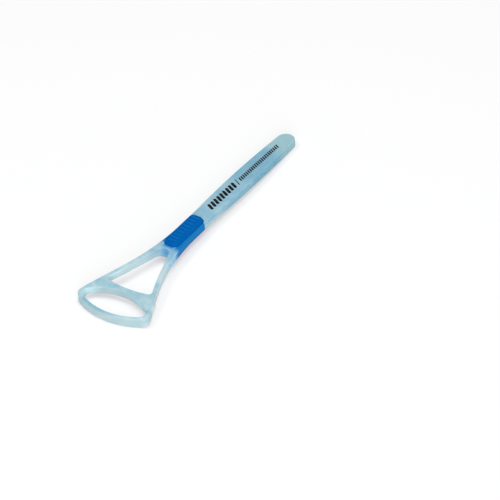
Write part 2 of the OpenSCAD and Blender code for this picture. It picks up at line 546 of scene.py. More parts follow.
class Mask:
    """Builds, in a material's tree, how strongly something shows at a point of the scraper."""

    def __init__(self, tree: Tree, side: SideProfile) -> None:
        """Take the point from the object's own coordinates.

        Args:
            tree: the material's tree.
            side: the body's levels.
        """
        self.tree, self.side, self.half_l = tree, side, side.total_l / 2
        self.where = add_node(tree, "ShaderNodeTexCoord").outputs["Object"]
        axes = add_node(tree, "ShaderNodeSeparateXYZ", {0: self.where}).outputs
        self.sideways, self.along, self.up = axes["X"], axes["Y"], axes["Z"]
        self.across = self.math("ABSOLUTE", self.sideways)

    def math(self, kind: str, *values: object) -> Socket:
        """One operation on sockets and numbers."""
        return add_node(self.tree, "ShaderNodeMath", dict(enumerate(values)), operation=kind).outputs[0]

    def all_of(self, *values: Socket) -> Socket:
        """The product of some masks, strong only where each of them is."""
        return reduce(partial(self.math, "MULTIPLY"), values)

    def any_of(self, *values: Socket) -> Socket:
        """The greatest of some masks, strong where one of them is."""
        return reduce(partial(self.math, "MAXIMUM"), values)

    def ramp(self, value: Socket, low: float, high: float) -> Socket:
        """Rise smoothly from none at `low` to one at `high`, both in millimetres."""
        sizes = {"Value": value, "From Min": low * MM, "From Max": high * MM}
        return add_node(self.tree, "ShaderNodeMapRange", sizes, interpolation_type="SMOOTHSTEP").outputs[0]

    def beyond(self, start: float, end: float) -> Socket:
        """Rise from none at `start` to one at `end`, both from the head's front."""
        return self.ramp(self.along, start - self.half_l, end - self.half_l)

    def within(self, zone: Zone) -> Socket:
        """One in a stretch of the body, counted from the head's front, and none outside it."""
        return self.all_of(self.beyond(zone.start, zone.full), self.beyond(zone.end, zone.fades))

    def upright(self, flat: float = 0.85, steep: float = 0.35) -> Socket:
        """Tell walls from faces.

        Args:
            flat: how much the surface faces up or down where the mask is none.
            steep: how much it does where the mask is one.

        Returns:
            The mask.
        """
        normal = add_node(self.tree, "ShaderNodeTexCoord").outputs["Normal"]
        level = add_node(self.tree, "ShaderNodeSeparateXYZ", {0: normal}).outputs["Z"]
        sizes = {"Value": self.math("ABSOLUTE", level), "From Min": flat, "From Max": steep}
        return add_node(self.tree, "ShaderNodeMapRange", sizes).outputs[0]

    def depth(self) -> Socket:
        """How far a point lies below the handle's top face, with a parabola for its bow.

        Returns:
            The distance in metres.
        """
        away = self.math("SUBTRACT", self.along, (self.side.crest_y - self.half_l) * MM)
        square = self.math("MULTIPLY", away, away)
        top = self.math("MULTIPLY_ADD", square, -0.5 / (self.side.bow_r * MM), self.side.crest_z * MM)
        return self.math("SUBTRACT", top, self.up)

    def behind_front(self, radius: float, start: float, end: float) -> Socket:
        """Rise behind the head's curved front.

        Args:
            radius: the front's radius.
            start: how far behind the front the mask is none.
            end: how far behind it the mask is one.

        Returns:
            The mask.
        """
        flat = add_node(self.tree, "ShaderNodeCombineXYZ", {"X": self.sideways, "Y": self.along}).outputs[0]
        ends = {0: flat, 1: (0.0, (radius - self.half_l) * MM, 0.0)}
        reach = add_node(self.tree, "ShaderNodeVectorMath", ends, operation="DISTANCE").outputs["Value"]
        return self.ramp(reach, radius - start, radius - end)

    def clouds(self, size_mm: float, low: float, high: float) -> Socket:
        """Soft patches.

        Args:
            size_mm: about how wide they are.
            low: the level of the noise under which there is none.
            high: the level over which there is one.

        Returns:
            The mask.
        """
        level = noise(self.tree, self.where, size_mm, detail=2.0)
        levels = {"Value": level, "From Min": low, "From Max": high}
        return add_node(self.tree, "ShaderNodeMapRange", levels, interpolation_type="SMOOTHSTEP").outputs[0]

    def mix(self, share: Socket, first: object, second: object) -> Socket:
        """Go from a first colour to a second."""
        sizes = {0: share, 6: first, 7: second}
        return add_node(self.tree, "ShaderNodeMix", sizes, data_type="RGBA").outputs[2]

    def lay(self, tint: Tint, where: Socket, under: Socket) -> Socket:
        """Lay a tint over a colour, where a mask shows."""
        return self.mix(self.math("MULTIPLY", where, tint.share), under, linear(tint.colour))


@dataclass(frozen=True)
class Grain:
    """The fine grain that a mould leaves on its plastic."""

    size_mm: float
    depth_mm: float
    strength: float
    detail: float

    def build(self, tree: Tree, where: Socket) -> Socket:
        """Roughen a material.

        Args:
            tree: its tree.
            where: the point that the grain is read at.

        Returns:
            The surface's direction.
        """
        height = noise(tree, where, self.size_mm, self.detail)
        sizes = {"Height": height, "Strength": self.strength, "Distance": self.depth_mm * MM}
        return add_node(tree, "ShaderNodeBump", sizes).outputs["Normal"]


@dataclass(frozen=True)
class CoreGlow:
    """How the grip's blue core shines through the plastic round it, with soft ends.

    Each span runs from none to full: those that start with `side` outwards from the thumb
    pad's side, those with `low` along the handle from its low end.
    """

    colour: str = "#0073B8"
    side_both: Span = (-1.0, 0.3)
    side_near: Span = (-1.4, 0.4)
    side_under: Span = (0.2, -2.2)
    low_both: Span = (0.2, 2.2)
    low_near: Span = (-3.6, 0.6)
    low_wall: Span = (-6.8, -0.2)
    low_under: Span = (-2.8, -0.6)
    under_share: float = 0.85
    # The glow stops short at the core's end, and on the walls it starts under the top's edge.
    core_end: Span = (0.3, -0.3)
    depth: Span = (0.5, 1.3)

    def build(self, mask: Mask, grip: GripSizes) -> Socket:
        """Work out how strongly the core shows.

        Args:
            mask: the material's masks.
            grip: the grip's sizes.

        Returns:
            The mask.
        """
        edge, low, high = grip.pad_w / 2, grip.pad_y, grip.core_end
        end = mask.beyond(high + self.core_end[0], high + self.core_end[1])
        sides = ((mask.across, self.side_both), (mask.sideways, self.side_near),
                 (mask.across, self.side_under))
        beside, near, under = (mask.ramp(value, edge + start, edge + full) for value, (start, full) in sides)
        ends = (self.low_both, self.low_near, self.low_wall, self.low_under)
        over_both, over_near, over_wall, over_under = (
            mask.beyond(low + start, low + full) for start, full in ends)
        wall = mask.all_of(mask.upright(), mask.ramp(mask.depth(), *self.depth))
        return mask.any_of(
            mask.all_of(beside, over_both, end), mask.all_of(near, over_near, end),
            mask.all_of(beside, wall, over_wall, end),
            mask.math("MULTIPLY", mask.all_of(under, over_under, end), self.under_share))


@dataclass(frozen=True)
class FrostedPlastic:
    """Polypropylene from a blasted mould: cloudy, milky at the surface, and light comes through it.

    A span goes from where a tint is none to where it is full. Those with `_y` are counted
    from the head's front, those with `_x` from the middle line: outwards, or to the right
    where a tint belongs to one side.
    """

    name: str = "injection_moulded_frosted_polypropylene"
    # Two tints in soft patches, with small pale flecks: the eye reads cloudy plastic and not
    # paint. Patches of 7 mm and flecks of 2.6 mm are as wide as the real ones.
    head: str = "#93BFD0"
    head_milky: str = "#B4D1D9"
    cloud_mm: float = 7.0
    cloud_levels: Span = (0.35, 0.68)
    fleck: Tint = Tint("#CADDE2", 0.45)
    fleck_mm: float = 2.6
    fleck_levels: Span = (0.5, 0.72)
    # Painted shade: the outer bar faces the light more than the rest, so it is painted a deeper tint.
    painted_shade_outer_bar: Tint = Tint("#80B0C2", 0.35)
    outer_bar_y: Span = (6.0, 3.5)
    # Painted light: narrow bars let light through, so the near leg and the near half of the outer bar are
    # painted paler, and both legs a shade paler.
    painted_near_light: Tint = Tint("#D8E4E8", 0.5)
    pale_bar_y: Span = (12.0, 5.0)
    pale_bar_x: Span = (1.0, 9.0)
    pale_leg_y: Zone = Zone(28.0, 34.0, 41.0, 47.0)
    pale_leg_x: Span = (3.0, 5.0)
    leg: Tint = Tint("#C8E0E4", 0.5)
    leg_y: Zone = Zone(27.0, 32.0, 43.0, 48.0)
    # Painted light: the walls are painted paler than the tops, as where light leaves the edge of a cloudy
    # plastic, and the walls inside the opening between the legs paler still.
    wall: str = "#B6D1D7"
    painted_light_wall_milky: str = "#C5D8DB"
    wall_lean: Span = (0.7, 0.2)
    painted_light_leg_inside: Tint = Tint("#E4F0F2", 0.3)
    leg_inside_y: Zone = Zone(18.5, 20.5, 48.0, 58.0)
    leg_inside_x: Span = (19.2, 18.2)
    # Painted light: the tight ends of the gap between the bars, and the foot of the far leg inside the
    # opening, are painted pale where shade would make them dark.
    gap_behind_front: Span = (0.7, 1.5)
    gap_back_y: Span = (18.5, 16.5)
    gap_x: Span = (20.4, 19.2)
    painted_light_far_end: Tint = Tint("#D8F4FC", 0.9)
    far_end_x: Span = (-11.0, -17.5)
    painted_light_far_leg_foot_share: float = 0.75
    far_leg_foot_y: Zone = Zone(20.5, 22.0, 27.0, 34.0)
    far_leg_foot_x: Span = (-5.0, -11.0)
    far_leg_inside_x: Span = (20.0, 18.5)
    painted_light_near_end: Tint = Tint("#CCF0FA", 0.9)
    near_end_y: Span = (5.0, 7.0)
    near_end_x: Span = (3.0, 13.0)
    # The thick handle looks deeper and bluer than the thin head. Painted light and shade: its walls are
    # painted paler towards the neck and darker further along, each more strongly towards the underside, and
    # its middle is painted darkest.
    thick_y: Span = (34.0, 62.0)
    handle: str = "#8DBBD1"
    handle_milky: str = "#A1C5D4"
    painted_light_neck_wall: Tint = Tint("#B0D3E0", 1.0)
    painted_shade_handle_wall: Tint = Tint("#80BACE", 1.0)
    handle_wall_y: Span = (90.0, 104.0)
    handle_wall_lean: Span = (0.98, 0.7)
    handle_wall_depth: Span = (0.6, 3.4)
    painted_shade_handle_middle: Tint = Tint("#76AEC4", 0.6)
    handle_middle_y: Zone = Zone(112.0, 126.0, 142.0, 152.0)
    tip: Tint = Tint("#A2C8CF", 0.75)
    tip_y: Span = (145.0, 153.0)
    # Some of the core's blue strays further: a halo at the thumb pad's low end, a patch on
    # the arch's wall and a clear light blue on the near wall, where the neck parts.
    neck_light: Tint = Tint("#A0D2EE", 0.85)
    neck_light_y: Zone = Zone(41.0, 46.0, 56.0, 60.0)
    neck_light_x: Span = (1.5, 3.5)
    neck_light_lean: Span = (0.9, 0.5)
    halo: Tint = Tint("#5AA4E0", 0.6)
    halo_from_pad: Zone = Zone(-5.5, 0.0, 1.0, 3.0)
    halo_x: Span = (-3.5, 3.0)
    arch_blue: Tint = Tint("#289FE6", 0.64)
    arch_below: Span = (2.8, 1.0)
    arch_past_pad: float = 1.0
    arch_x: Span = (3.1, 0.5)
    # A weak, wide gloss: a blasted mould leaves no mirror, only a faint sheen.
    ior: float = 1.49
    gloss: float = 0.08
    roughness: float = 0.45
    # Light wanders a little way in, which softens the shading and lifts thin edges.
    transmission: float = 0.1
    scatter: float = 0.6
    scatter_mm: float = 1.4
    scatter_rgb: Triple = (0.7, 1.0, 1.1)
    # The mould's own grain is about 0.05 mm, too fine to show, so it is drawn ten times
    # coarser and very shallow.
    grain: Grain = Grain(size_mm=0.5, depth_mm=0.01, strength=0.5, detail=1.0)

    def build(self, side: SideProfile, grip: GripSizes, arch_y: float, front_r: float) -> bpy.types.Material:
        """Make the material.

        Args:
            side: the body's levels.
            grip: the grip's sizes, whose blue shows through the plastic beside it.
            arch_y: where the arch under the grip lies, from the head's front.
            front_r: the radius of the head's front.

        Returns:
            The material.
        """
        material = bare_material(self.name)
        mask = Mask(material.node_tree, side)
        cloud = mask.clouds(self.cloud_mm, *self.cloud_levels)
        tops, walls = self._tops(mask, cloud), self._walls(mask, cloud, front_r)
        # Painted light: the walls take their paler colours, and both legs are painted paler.
        head = mask.mix(mask.upright(*self.wall_lean), tops, walls)
        head = mask.lay(self.leg, mask.within(self.leg_y), head)
        plastic = mask.mix(mask.beyond(*self.thick_y), head, self._handle(mask, cloud))
        plastic = self._stray_blue(mask, plastic, grip, arch_y)
        core = CoreGlow()
        glow = core.build(mask, grip)
        self._surface(mask, mask.mix(glow, plastic, linear(core.colour)), glow)
        return material

    def _tops(self, mask: Mask, cloud: Socket) -> Socket:
        """Colour the top and underside of the head and the legs, with painted shade on the outer bar and
        painted light on its near half and on the near leg.

        Args:
            mask: the material's masks.
            cloud: its soft patches.

        Returns:
            The colour.
        """
        flecks = mask.clouds(self.fleck_mm, *self.fleck_levels)
        colour = mask.lay(self.fleck, flecks, mask.mix(cloud, linear(self.head), linear(self.head_milky)))
        colour = mask.lay(self.painted_shade_outer_bar, mask.beyond(*self.outer_bar_y), colour)
        bar = mask.all_of(mask.ramp(mask.sideways, *self.pale_bar_x), mask.beyond(*self.pale_bar_y))
        leg = mask.all_of(mask.ramp(mask.sideways, *self.pale_leg_x), mask.within(self.pale_leg_y))
        return mask.lay(self.painted_near_light, mask.any_of(bar, leg), colour)

    def _walls(self, mask: Mask, cloud: Socket, front_r: float) -> Socket:
        """Colour the walls of the head and the legs, with painted light: paler than the tops, and paler still
        inside the opening and at the ends of the gap, where shade falls.

        Args:
            mask: the material's masks.
            cloud: its soft patches.
            front_r: the radius of the head's front.

        Returns:
            The colour.
        """
        colour = mask.mix(cloud, linear(self.wall), linear(self.painted_light_wall_milky))
        inside = mask.all_of(mask.ramp(mask.across, *self.leg_inside_x), mask.within(self.leg_inside_y))
        colour = mask.lay(self.painted_light_leg_inside, inside, colour)
        gap = mask.all_of(mask.ramp(mask.across, *self.gap_x), mask.beyond(*self.gap_back_y),
                          mask.behind_front(front_r, *self.gap_behind_front))
        foot = mask.all_of(mask.ramp(mask.sideways, *self.far_leg_foot_x), mask.within(self.far_leg_foot_y),
                           mask.ramp(mask.across, *self.far_leg_inside_x))
        far = mask.any_of(mask.all_of(gap, mask.ramp(mask.sideways, *self.far_end_x)),
                          mask.math("MULTIPLY", foot, self.painted_light_far_leg_foot_share))
        colour = mask.lay(self.painted_light_far_end, far, colour)
        near = mask.all_of(gap, mask.beyond(*self.near_end_y), mask.ramp(mask.sideways, *self.near_end_x))
        return mask.lay(self.painted_light_near_end, near, colour)

    def _handle(self, mask: Mask, cloud: Socket) -> Socket:
        """Colour the handle, with painted light and shade on its walls and painted shade in its middle.

        Args:
            mask: the material's masks.
            cloud: its soft patches.

        Returns:
            The colour.
        """
        low, high = self.handle_wall_y
        wall = mask.all_of(mask.upright(*self.handle_wall_lean),
                           mask.ramp(mask.depth(), *self.handle_wall_depth))
        colour = mask.mix(cloud, linear(self.handle), linear(self.handle_milky))
        colour = mask.lay(self.painted_light_neck_wall, mask.all_of(wall, mask.beyond(high, low)), colour)
        colour = mask.lay(self.painted_shade_handle_wall, mask.all_of(wall, mask.beyond(low, high)), colour)
        colour = mask.lay(self.painted_shade_handle_middle, mask.within(self.handle_middle_y), colour)
        return mask.lay(self.tip, mask.beyond(*self.tip_y), colour)

    def _stray_blue(self, mask: Mask, plastic: Socket, grip: GripSizes, arch_y: float) -> Socket:
        """Lay the faint blue that strays from the core over the plastic near it.

        Args:
            mask: the material's masks.
            plastic: the colour so far.
            grip: the grip's sizes.
            arch_y: where the arch lies, from the head's front.

        Returns:
            The colour.
        """
        neck = mask.all_of(mask.ramp(mask.sideways, *self.neck_light_x), mask.upright(*self.neck_light_lean),
                           mask.within(self.neck_light_y))
        colour = mask.lay(self.neck_light, neck, plastic)
        round_pad = mask.within(self.halo_from_pad.moved(grip.pad_y))
        colour = mask.lay(self.halo, mask.all_of(mask.ramp(mask.sideways, *self.halo_x), round_pad), colour)
        start, full = (arch_y - below for below in self.arch_below)
        behind = mask.within(Zone(start, full, grip.pad_y, grip.pad_y + self.arch_past_pad))
        arch = mask.all_of(mask.ramp(mask.across, *self.arch_x), behind, mask.upright())
        return mask.lay(self.arch_blue, arch, colour)

    def _surface(self, mask: Mask, colour: Socket, glow: Socket) -> None:
        """Finish the material: gloss, grain and the light inside, which the core's glow shuts out.

        Args:
            mask: the material's masks.
            colour: the plastic's colour.
            glow: how strongly the core shows.
        """
        tree = mask.tree
        cloudy, clear = (add_node(tree, "ShaderNodeMapRange", {"Value": glow, "To Min": most, "To Max": 0.0})
                         .outputs[0] for most in (self.scatter, self.transmission))
        surface = add_node(tree, "ShaderNodeBsdfPrincipled", {
            "Base Color": colour, "Roughness": self.roughness, "IOR": self.ior,
            "Specular IOR Level": self.gloss, "Transmission Weight": clear, "Subsurface Weight": cloudy,
            "Subsurface Radius": self.scatter_rgb, "Subsurface Scale": self.scatter_mm * MM,
            "Normal": self.grain.build(tree, mask.where)})
        add_node(tree, "ShaderNodeOutputMaterial", {"Surface": surface.outputs["BSDF"]})


@dataclass(frozen=True)
class SoftRubber:
    """Thermoplastic rubber moulded over the neck: satin, with the fine grain of its mould."""

    name: str = "overmoulded_soft_rubber"
    # Two near blues in patches of 3 mm: the eye reads dyed rubber and not flat paint.
    deep: str = "#0058A4"
    bright: str = "#0064AE"
    patch_mm: float = 3.0
    # Hardly any gloss, so it looks softer and deeper than the plastic beside it.
    ior: float = 1.45
    gloss: float = 0.03
    roughness: float = 0.55
    # Satin grain, really about 0.04 mm, drawn coarser because it would not show.
    grain: Grain = Grain(size_mm=0.3, depth_mm=0.02, strength=0.6, detail=2.0)

    def build(self) -> bpy.types.Material:
        """Make the material.

        Returns:
            The material.
        """
        material = bare_material(self.name)
        tree = material.node_tree
        where = add_node(tree, "ShaderNodeTexCoord").outputs["Object"]
        patches = noise(tree, where, self.patch_mm, detail=3.0)
        tint = add_node(tree, "ShaderNodeMix", {
            0: patches, 6: linear(self.deep), 7: linear(self.bright)}, data_type="RGBA")
        surface = add_node(tree, "ShaderNodeBsdfPrincipled", {
            "Base Color": tint.outputs[2], "Roughness": self.roughness, "IOR": self.ior,
            "Specular IOR Level": self.gloss, "Normal": self.grain.build(tree, where)})
        add_node(tree, "ShaderNodeOutputMaterial", {"Surface": surface.outputs["BSDF"]})
        return material


# Painted light: the ribs catch more light than the pad round them, so their rubber is painted a shade
# brighter.
PAINTED_LIGHT_RIB_RUBBER = SoftRubber(name="overmoulded_soft_rubber_painted_light_ribs", deep="#005FAC", bright="#066EB8")


@dataclass(frozen=True)
class PrintingInk:
    """Black pad-printing ink: a thin matt film, a little uneven where it took to the frosted skin."""

    name: str = "pad_printed_ink"
    # Near black, a shade thinner in patches of 0.8 mm, so the marks look stamped on, not cut in.
    full: str = "#040506"
    thin: str = "#101418"
    patch_mm: float = 0.8
    gloss: float = 0.1
    roughness: float = 0.7

    def build(self) -> bpy.types.Material:
        """Make the material.

        Returns:
            The material.
        """
        material = bare_material(self.name)
        tree = material.node_tree
        where = add_node(tree, "ShaderNodeTexCoord").outputs["Object"]
        cover = noise(tree, where, self.patch_mm, detail=3.0)
        tint = add_node(tree, "ShaderNodeMix", {
            0: cover, 6: linear(self.full), 7: linear(self.thin)}, data_type="RGBA")
        surface = add_node(tree, "ShaderNodeBsdfPrincipled", {
            "Base Color": tint.outputs[2], "Roughness": self.roughness, "Specular IOR Level": self.gloss})
        add_node(tree, "ShaderNodeOutputMaterial", {"Surface": surface.outputs["BSDF"]})
        return material


@dataclass(frozen=True)
class ScraperBody:
    """The frosted moulding: open head with two bars, two legs, neck and handle."""

    side: SideProfile
    grip: GripSizes
    head_w: float = 42.6
    front_r: float = 40.5
    corner_r: float = 3.8
    outer_bar_t: float = 2.0
    inner_front_r: float = 33.0
    inner_back_y: float = 19.7
    inner_bar_w: float = 3.3
    inner_back_r: float = 64.0
    side_wall: float = 2.8
    gap_corner_r: float = 1.5
    arch_r: float = 4.2
    arch_narrow: float = 0.95
    arch_lean: float = 1.6
    lean_r: float = 3.6
    crotch_r: float = 1.8
    leg_w: float = 2.3
    neck_w: float = 10.2
    neck_y: float = 48.2
    flare_r: float = 120.0
    handle_w: float = 11.7
    widest_y: float = 121.0
    leaf_r: float = 744.0
    edge_r: float = 0.55
    edge_steps: int = 6
    rim_r: float = 0.12
    wall_levels: int = 8
    # Spacing of the points: over a face, along the outside, along an opening, and along the
    # small arcs before an outline is spaced evenly.
    grid: float = 1.1
    outside_step: float = 0.75
    opening_step: float = 0.5
    corner_step: float = 0.4
    arch_step: float = 0.3
    soft_step: float = 0.2

    @property
    def corner(self) -> np.ndarray:
        """Middle of the right-hand corner's circle."""
        x = self.head_w / 2 - self.corner_r
        return np.array([x, self.front_r - math.sqrt((self.front_r - self.corner_r) ** 2 - x ** 2)])

    @property
    def leg_angle(self) -> float:
        """Angle of the leg's outward normal, in degrees."""
        run = np.array([self.neck_w / 2, self.neck_y]) - self.corner
        return math.degrees(math.atan2(run[1], run[0]) - math.acos(self.corner_r / np.hypot(*run)))

    @property
    def flare(self) -> Point:
        """Middle of the circle that flares the neck into the right-hand leg."""
        rise = self.flare_r * math.tan(math.radians(self.leg_angle / 2))
        return self.neck_w / 2 + self.flare_r, self.neck_y + rise

    @property
    def arch_centre(self) -> float:
        """Distance from the head's front to the middle of the arch's circle."""
        x, y = self.flare
        return y - math.sqrt((self.flare_r + self.leg_w + self.arch_r + self.arch_narrow) ** 2 - x ** 2)

    def outer_outline(self) -> np.ndarray:
        """Draw the body's outline.

        Returns:
            Its points, with the plastic on their left.
        """
        corner, lean = self.corner, self.leg_angle
        front = math.degrees(math.atan2(corner[0], self.front_r - corner[1])) - 90
        leaf_h, leaf_x = self.handle_w / 2, self.handle_w / 2 - self.leaf_r
        leaf_start = -math.degrees(math.acos((self.neck_w / 2 - leaf_x) / self.leaf_r))
        run = self.side.total_l - self.widest_y
        tip_r = (2 * self.leaf_r * leaf_h - leaf_h ** 2 - run ** 2) / (2 * (self.leaf_r - run))
        tip_y = self.side.total_l - tip_r
        tip_start = math.degrees(math.atan2(tip_y - self.widest_y, -leaf_x))
        right = np.concatenate([
            arc((0, self.front_r), self.front_r, -90, front),
            arc(tuple(corner), self.corner_r, front, lean, self.corner_step),
            arc(self.flare, self.flare_r, 180 + lean, 180),
            arc((leaf_x, self.widest_y), self.leaf_r, leaf_start, tip_start),
            arc((0, tip_y), tip_r, tip_start, 90, self.corner_step)])
        return turned(resampled(mirrored(right), self.outside_step), Way.AROUND_PLASTIC)

    def leg_opening(self) -> np.ndarray:
        """Draw the opening between the legs, at the underside.

        Returns:
            Its points, with the plastic on their left.
        """
        lean, flare, corner = math.radians(self.leg_angle), self.flare, self.corner
        inner_r = self.flare_r + self.leg_w
        reach = inner_r + self.arch_r
        straight = math.acos(reach / (reach + self.arch_narrow))
        arch_a = math.degrees(math.atan2(flare[1] - self.arch_centre, flare[0]) + straight)
        back_y, across, along = self.inner_back_y + self.inner_back_r, math.cos(lean), math.sin(lean)
        out = corner[0] * across + corner[1] * along + self.corner_r - self.leg_w - self.crotch_r
        run = math.sqrt((self.inner_back_r - self.crotch_r) ** 2 - (out - back_y * along) ** 2)
        rise = back_y * across - run
        crotch = (out * across - rise * along, out * along + rise * across)
        crotch_a = math.degrees(math.atan2(crotch[1] - back_y, crotch[0]))
        right = np.concatenate([
            arc((0, back_y), self.inner_back_r, -90, crotch_a),
            arc(crotch, self.crotch_r, crotch_a, self.leg_angle, self.soft_step),
            arc(flare, inner_r, 180 + self.leg_angle, 180 + arch_a),
            arc((0, self.arch_centre), self.arch_r, arch_a, 90, self.arch_step)])
        return turned(resampled(mirrored(right), self.opening_step), Way.AROUND_HOLE)

    def leaning(self, outline: np.ndarray, share: float) -> np.ndarray:
        """Lean the arch's wall back.

        Args:
            outline: the opening between the legs, at the underside.
            share: the level, from the underside at none to the top at one.

        Returns:
            The outline at that level.
        """
        away = outline - [0, self.arch_centre]
        reach = np.hypot(*away.T)
        across, along = (away / reach[:, None]).T
        back_r = self.lean_r * math.hypot(1, self.arch_lean / self.side.body_t)
        centre = self.arch_r - back_r + self.arch_lean * share
        a = (across / self.lean_r) ** 2 + (along / back_r) ** 2
        b = along * centre / back_r ** 2
        inside = np.maximum(b ** 2 - a * ((centre / back_r) ** 2 - 1), 0)
        far = np.where(along > 0, (b + np.sqrt(inside)) / a, 0)
        return [0, self.arch_centre] + away * (np.maximum(reach, far) / reach)[:, None]

    def bar_gap(self) -> np.ndarray:
        """Draw the gap between the two bars.

        Returns:
            Its points, with the plastic on their left.
        """
        soft = self.gap_corner_r
        end = self.head_w / 2 - self.side_wall - soft
        front_r = self.front_r - self.outer_bar_t
        back_y = self.inner_back_y - self.inner_bar_w - self.inner_front_r
        low = self.front_r - math.sqrt((front_r - soft) ** 2 - end ** 2)
        high = back_y + math.sqrt((self.inner_front_r - soft) ** 2 - end ** 2)
        low_a = math.degrees(math.atan2(low - self.front_r, end))
        high_a = math.degrees(math.atan2(high - back_y, end))
        right = np.concatenate([
            arc((0, self.front_r), front_r, -90, low_a),
            arc((end, low), soft, low_a, 0, self.soft_step),
            arc((end, high), soft, 0, high_a, self.soft_step),
            arc((0, back_y), self.inner_front_r, high_a, 90)])
        return turned(resampled(mirrored(right), self.opening_step), Way.AROUND_HOLE)

    def build(self, material: bpy.types.Material) -> bpy.types.Object:
        """Make the moulding.

        Args:
            material: its finish.

        Returns:
            The body's object.
        """
        shell = Shell()
        top_caps: list[list[int]] = []
        low_caps: list[list[int]] = []
        walls = ((self.outer_outline(), False), (self.leg_opening(), True), (self.bar_gap(), False))
        for outline, leans in walls:
            upper = self._edge_rings(shell, self.leaning(outline, 1) if leans else outline, Face.THUMB)
            lower = self._edge_rings(shell, outline, Face.FINGER)
            between = self._wall_rings(shell, outline) if leans else []
            shell.wall(lower + between + upper[::-1])
            top_caps.append(upper[0])
            low_caps.append(lower[0])
        window = self._window_rings(shell)
        shell.wall(window)
        low_caps.append(window[0])
        top_caps.append(window[-1])
        shell.cap(top_caps, self.side, Face.THUMB, 0, self.grid)
        shell.cap(low_caps, self.side, Face.FINGER, 0, self.grid)
        return shell.build("frosted_body", material)

    def _edge_rings(self, shell: Shell, outline: np.ndarray, face: Face) -> list[list[int]]:
        """Lay the rings of the rounded edge on one side of a wall, from the flat face to the wall."""
        steps = quarter_round(self.edge_r, self.edge_steps)
        return [shell.ring(self.side.place(inset(outline, back), face, -drop)) for back, drop in steps]

    def _wall_rings(self, shell: Shell, outline: np.ndarray) -> list[list[int]]:
        """Lay the rings of the opening's leaning wall, between its two rounded edges.

        Args:
            shell: what collects the points.
            outline: the opening, at the underside.

        Returns:
            The rings, from below to above.
        """
        thick = self.side.body_t
        shares = np.linspace(self.edge_r / thick, 1 - self.edge_r / thick, self.wall_levels)[1:-1]
        return [shell.ring(self.side.place(self.leaning(outline, share), Face.FINGER, -share * thick))
                for share in shares]

    def _window_rings(self, shell: Shell) -> list[list[int]]:
        """Lay the rings of the window that the grip is moulded into.

        Args:
            shell: what collects the points.

        Returns:
            The rings, from below to above.
        """
        grip, gap = self.grip, self.grip.bond_gap
        depth = grip.let_in + gap
        wide = grip.outline(grip.foot + gap, grip.foot)
        steps = [(grip.outline(grip.foot + gap + self.rim_r, grip.foot), 0.0), (wide, self.rim_r),
                 (wide, depth), (grip.core_outline(gap), depth)]
        below = [(Face.FINGER, turned(outline, Way.AROUND_HOLE), -drop) for outline, drop in steps]
        above = [(Face.THUMB, turned(outline, Way.AROUND_HOLE), -drop) for outline, drop in steps[::-1]]
        return [shell.ring(self.side.place(outline, face, height)) for face, outline, height in below + above]


@dataclass(frozen=True)
class SoftGrip:
    """The soft grip: a thumb pad and a finger pad, joined by a core through the neck."""

    side: SideProfile
    sizes: GripSizes
    draft: float = 0.45
    edge_r: float = 0.45
    edge_steps: int = 5
    grid: float = 0.9
    # The panel's rounded rim, and the soft corner between its wall and its floor.
    panel_edge: float = 0.16
    floor_run: float = 0.08
    corner_run: float = 0.1
    corner_rise: float = 0.05
    wall_lean: float = 0.03

    def build(self, material: bpy.types.Material) -> bpy.types.Object:
        """Make the pads and their core.

        Args:
            material: their finish.

        Returns:
            The grip's object.
        """
        shell = Shell()
        above, below = (
            [shell.ring(self.side.place(outline, face, height)) for outline, height in self._steps(face)]
            for face in (Face.THUMB, Face.FINGER))
        shell.wall(below + above[::-1])
        for face, ring in ((Face.THUMB, above[0]), (Face.FINGER, below[0])):
            shell.cap([ring], self.side, face, self.sizes.height(face) - self.sizes.panel_d, self.grid)
        return shell.build("grip_pads_and_core", material)

    def _steps(self, face: Face) -> list[tuple[np.ndarray, float]]:
        """Work out one side's pad, from its panel out and down to the core.

        Args:
            face: the side.

        Returns:
            Each ring's outline and height.
        """
        sizes, soft, rim = self.sizes, self.panel_edge, self.sizes.rim
        high, floor = sizes.height(face), sizes.height(face) - sizes.panel_d
        panel = [(-rim - soft - self.floor_run, floor), (-rim - self.corner_run, floor + self.corner_rise),
                 (-rim, floor + soft), (-rim + self.wall_lean, high - soft), (-rim + soft, high)]
        corner = quarter_round(self.edge_r, self.edge_steps)
        edge = [(-self.draft - back, high - drop) for back, drop in corner]
        rings = [(sizes.outline(grow, sizes.end_slope * h), h) for grow, h in panel + edge]
        foot = sizes.outline(sizes.foot, sizes.foot)
        return rings + [(foot, 0.0), (foot, -sizes.let_in), (sizes.core_outline(0.0), -sizes.let_in)]


